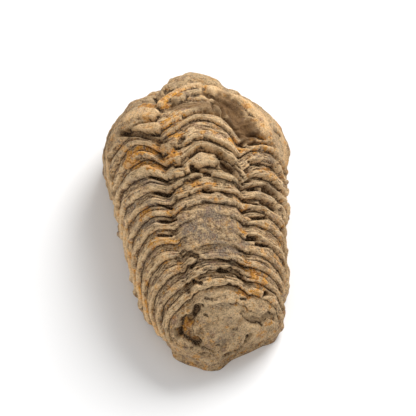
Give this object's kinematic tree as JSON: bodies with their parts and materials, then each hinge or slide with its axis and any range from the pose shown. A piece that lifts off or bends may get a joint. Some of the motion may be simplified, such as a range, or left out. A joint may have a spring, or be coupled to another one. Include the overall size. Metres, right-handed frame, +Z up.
{
  "type": "trilobite fossil",
  "caption": "A small stone trilobite with its head bent down: a ribbed, three-lobed dome of brown limestone with cracks, a worn patch and a hole in the tail, lying on a flat underside.",
  "frame": {"origin": "on the resting surface, under the middle of the body", "axes": "+Y runs to the head, +X to the animal's right side, +Z is up"},
  "size_m": [0.0396, 0.065, 0.0276],
  "materials": {
    "fossil_stone": "rough matt limestone, tan to khaki brown with rusty ochre patches"
  },
  "bodies": {
    "root": {"trilobite_fossil": "fossil_stone"}
  },
  "joints": []
}
